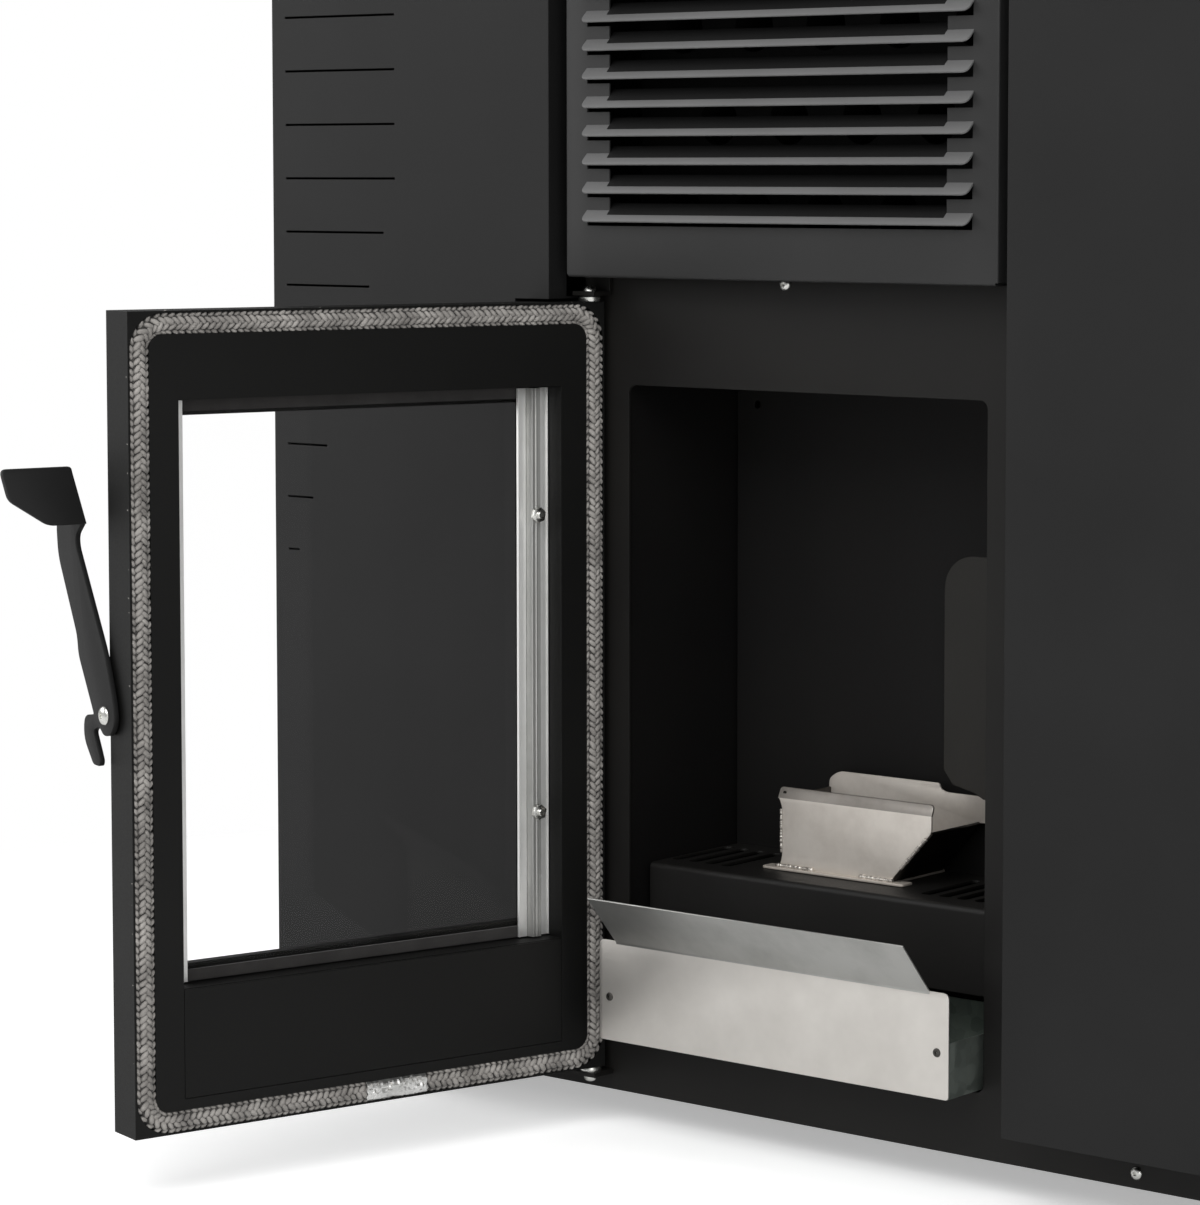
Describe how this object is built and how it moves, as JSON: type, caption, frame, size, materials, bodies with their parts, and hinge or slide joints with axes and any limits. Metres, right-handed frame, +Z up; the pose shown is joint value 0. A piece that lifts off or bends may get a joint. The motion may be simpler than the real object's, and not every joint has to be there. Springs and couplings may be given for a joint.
{
  "type": "pellet stove",
  "caption": "Slim black pellet stove with a louvred warm-air grille, an open glazed door with a rope seal, a welded burn pot on a slotted tray and a pulled-out ash drawer",
  "frame": {"origin": "floor level under the middle of the overall bounding box, door open and ash drawer out as drawn", "axes": "+Z up, +X to the right seen from the front, +Y from the front towards the rear"},
  "size_m": [0.944, 0.6912, 1.08],
  "materials": {
    "casing_paint": "satin",
    "grille_paint": "satin",
    "stove_paint": "matte",
    "stainless": "brushed",
    "galvanised": "satin",
    "zinc": "satin",
    "aluminium": "satin",
    "rope_fibre": "matte",
    "gasket_tape": "matte",
    "glass_pane": "gloss",
    "foil": "satin",
    "black_plastic": "matte",
    "display_gloss": "gloss",
    "rubber": "matte"
  },
  "bodies": {
    "stove": {"base_tray": "stove_paint", "foot_front_left": "rubber", "foot_front_right": "rubber", "foot_rear_left": "rubber", "foot_rear_right": "rubber", "front_plate": "stove_paint", "base_screw": "zinc", "grille_screw": "zinc", "casing_left": "casing_paint", "casing_right": "casing_paint", "rear_cover": "casing_paint", "top_cover": "casing_paint", "grille_panel": "grille_paint", "control_display": "display_gloss", "firebox_shell": "stove_paint", "firebox_back_liner": "stove_paint", "heat_exchanger": "stove_paint", "burn_pot_tray": "stove_paint", "burn_pot": "stainless", "chute_deflector": "stove_paint", "igniter": "stainless", "pellet_hopper": "galvanised", "auger_tube": "galvanised", "auger_gearmotor": "aluminium", "pellet_chute": "galvanised", "exhaust_fan_housing": "galvanised", "exhaust_motor": "aluminium", "flue_outlet": "galvanised", "air_intake": "galvanised", "room_blower_housing": "galvanised", "control_board_box": "black_plastic", "mains_inlet": "black_plastic", "switch_housing": "black_plastic", "hinge_bracket_top": "zinc", "hinge_bracket_bottom": "zinc"},
    "door": {"door_frame": "stove_paint", "door_lower_panel": "stove_paint", "door_glass": "glass_pane", "glass_gasket": "gasket_tape", "glass_clamp_hinge_side": "galvanised", "glass_clamp_free_side": "galvanised", "clamp_nut_hinge_side_low": "zinc", "clamp_nut_hinge_side_high": "zinc", "clamp_nut_free_side_low": "zinc", "clamp_nut_free_side_high": "zinc", "rope_gasket": "rope_fibre", "foil_tape": "foil", "handle_bolt": "zinc"},
    "ash_drawer": {"drawer_front": "stainless", "drawer_box": "galvanised", "drawer_rivet_left": "zinc", "drawer_rivet_right": "zinc"},
    "handle": {"handle_lever": "stove_paint"},
    "lid": {"hopper_lid": "casing_paint"},
    "button_left": {"control_button_left": "black_plastic"},
    "button_right": {"control_button_right": "black_plastic"},
    "rocker": {"rocker_switch": "black_plastic"},
    "impeller": {"exhaust_impeller": "stainless"},
    "blower_rotor": {"room_blower_rotor": "aluminium"},
    "auger": {"auger_screw": "stainless"}
  },
  "joints": [
    {"name": "door_hinge", "type": "hinge", "parent": "stove", "child": "door", "pos_m": [-0.1826, 0.04609, 0.32], "axis": [0, 0, -1], "range_deg": [-105.8, 2]},
    {"name": "handle_pivot", "type": "hinge", "parent": "door", "child": "handle", "pos_m": [-0.30582, -0.30856, 0.327], "axis": [-0.2723, -0.9622, 0], "range_deg": [-8, 60]},
    {"name": "ash_drawer_slide", "type": "slide", "parent": "stove", "child": "ash_drawer", "axis": [0, -1, 0], "range_m": [-0.0562, 0.0024]},
    {"name": "hopper_lid_hinge", "type": "hinge", "parent": "stove", "child": "lid", "pos_m": [0.333, 0.27039, 1.0802], "axis": [-1, 0, 0], "range_deg": [0, 80]},
    {"name": "left_button", "type": "slide", "parent": "stove", "child": "button_left", "axis": [0, 1, 0], "range_m": [0, 0.0015], "stiffness_N_per_m": 150},
    {"name": "right_button", "type": "slide", "parent": "stove", "child": "button_right", "axis": [0, 1, 0], "range_m": [0, 0.0015], "stiffness_N_per_m": 150},
    {"name": "rocker_pivot", "type": "hinge", "parent": "stove", "child": "rocker", "pos_m": [-0.388, 0.29059, 0.155], "axis": [1, 0, 0], "range_deg": [-5, 5]},
    {"name": "exhaust_fan_shaft", "type": "hinge", "parent": "stove", "child": "impeller", "pos_m": [-0.06, 0.23559, 0.33], "axis": [0, 1, 0], "continuous": true},
    {"name": "room_blower_shaft", "type": "hinge", "parent": "stove", "child": "blower_rotor", "pos_m": [0, 0.24959, 0.655], "axis": [1, 0, 0], "continuous": true},
    {"name": "auger_shaft", "type": "hinge", "parent": "stove", "child": "auger", "pos_m": [0.385, 0.16359, 0.33], "axis": [-0.7071, 0, 0.7071], "continuous": true}
  ],
  "couplings": [
    {"joint": "ash_drawer_slide", "follows": "door_hinge", "m_per_rad": 0.030327}
  ]
}
